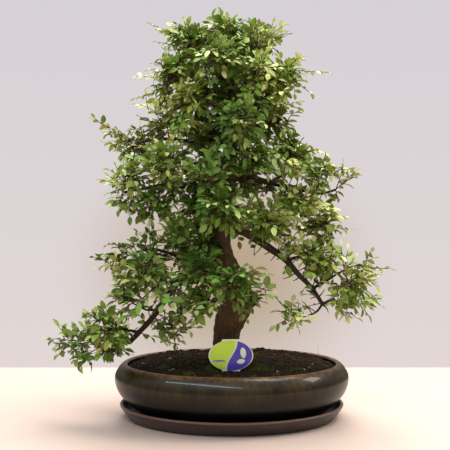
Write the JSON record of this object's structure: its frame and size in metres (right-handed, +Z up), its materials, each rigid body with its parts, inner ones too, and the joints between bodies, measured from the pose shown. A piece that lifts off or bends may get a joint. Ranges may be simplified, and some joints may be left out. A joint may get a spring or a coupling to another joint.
{
  "type": "chinese elm bonsai",
  "caption": "Chinese elm bonsai with a curved trunk and leafy sprays, in a glazed oval pot that stands in its oval drip saucer, with a plain oval plant label.",
  "frame": {"origin": "centre of the saucer's flat underside, on the surface that it stands on", "axes": "+Z up, towards the crown; the front of the tree faces -Y, and the pot's length runs along X"},
  "size_m": [0.499, 0.3871, 0.6077],
  "materials": {
    "bark": "rough dark brown bark",
    "leaf_old": "slightly glossy dark green leaf",
    "leaf_young": "slightly glossy yellow-green leaf",
    "pot_glaze": "glossy streaked olive-brown glaze",
    "saucer_clay": "satin dark red-brown stoneware",
    "soil": "moist gritty dark soil",
    "label_plastic": "printed lime green plastic",
    "screen_plastic": "black moulded mesh"
  },
  "bodies": {
    "root": {"drain_screen_left": "screen_plastic", "drain_screen_right": "screen_plastic", "plant_label": "label_plastic", "pot": "pot_glaze", "saucer": "saucer_clay", "soil": "soil", "spray_back_high": "leaf_old", "spray_back_left": "leaf_young", "spray_back_low": "leaf_old", "spray_back_low_left": "leaf_young", "spray_back_right": "leaf_old", "spray_crown_back": "leaf_old", "spray_crown_front": "leaf_old", "spray_crown_front_right": "leaf_young", "spray_crown_left": "leaf_old", "spray_crown_low_back": "leaf_old", "spray_crown_low_left": "leaf_young", "spray_crown_low_right": "leaf_old", "spray_crown_right": "leaf_young", "spray_crown_top": "leaf_young", "spray_crown_top_left": "leaf_old", "spray_crown_top_right": "leaf_old", "spray_front_high": "leaf_old", "spray_front_low": "leaf_old", "spray_front_low_hang": "leaf_young", "spray_front_low_left": "leaf_old", "spray_front_low_right": "leaf_old", "spray_front_mid": "leaf_old", "spray_front_mid_left": "leaf_young", "spray_high_left_back": "leaf_young", "spray_high_left_front": "leaf_old", "spray_high_left_in": "leaf_old", "spray_high_left_mid": "leaf_young", "spray_high_left_out": "leaf_old", "spray_high_right_in": "leaf_old", "spray_high_right_out": "leaf_old", "spray_low_left_end": "leaf_old", "spray_low_left_fork": "leaf_young", "spray_low_left_hang": "leaf_young", "spray_low_left_shade": "leaf_old", "spray_low_left_upper": "leaf_old", "spray_low_right_back": "leaf_old", "spray_low_right_drop": "leaf_young", "spray_low_right_end": "leaf_old", "spray_low_right_far": "leaf_old", "spray_low_right_in": "leaf_old", "spray_low_right_mid": "leaf_young", "spray_low_right_top": "leaf_old", "spray_mid_left_in": "leaf_old", "spray_mid_left_low": "leaf_old", "spray_mid_left_out": "leaf_young", "spray_mid_left_under": "leaf_young", "spray_mid_low_in": "leaf_old", "spray_mid_low_out": "leaf_old", "spray_mid_low_top": "leaf_young", "spray_mid_right_back": "leaf_old", "spray_mid_right_front": "leaf_young", "spray_mid_right_low": "leaf_old", "spray_mid_right_out": "leaf_old", "trunk_and_branches": "bark"}
  },
  "joints": []
}
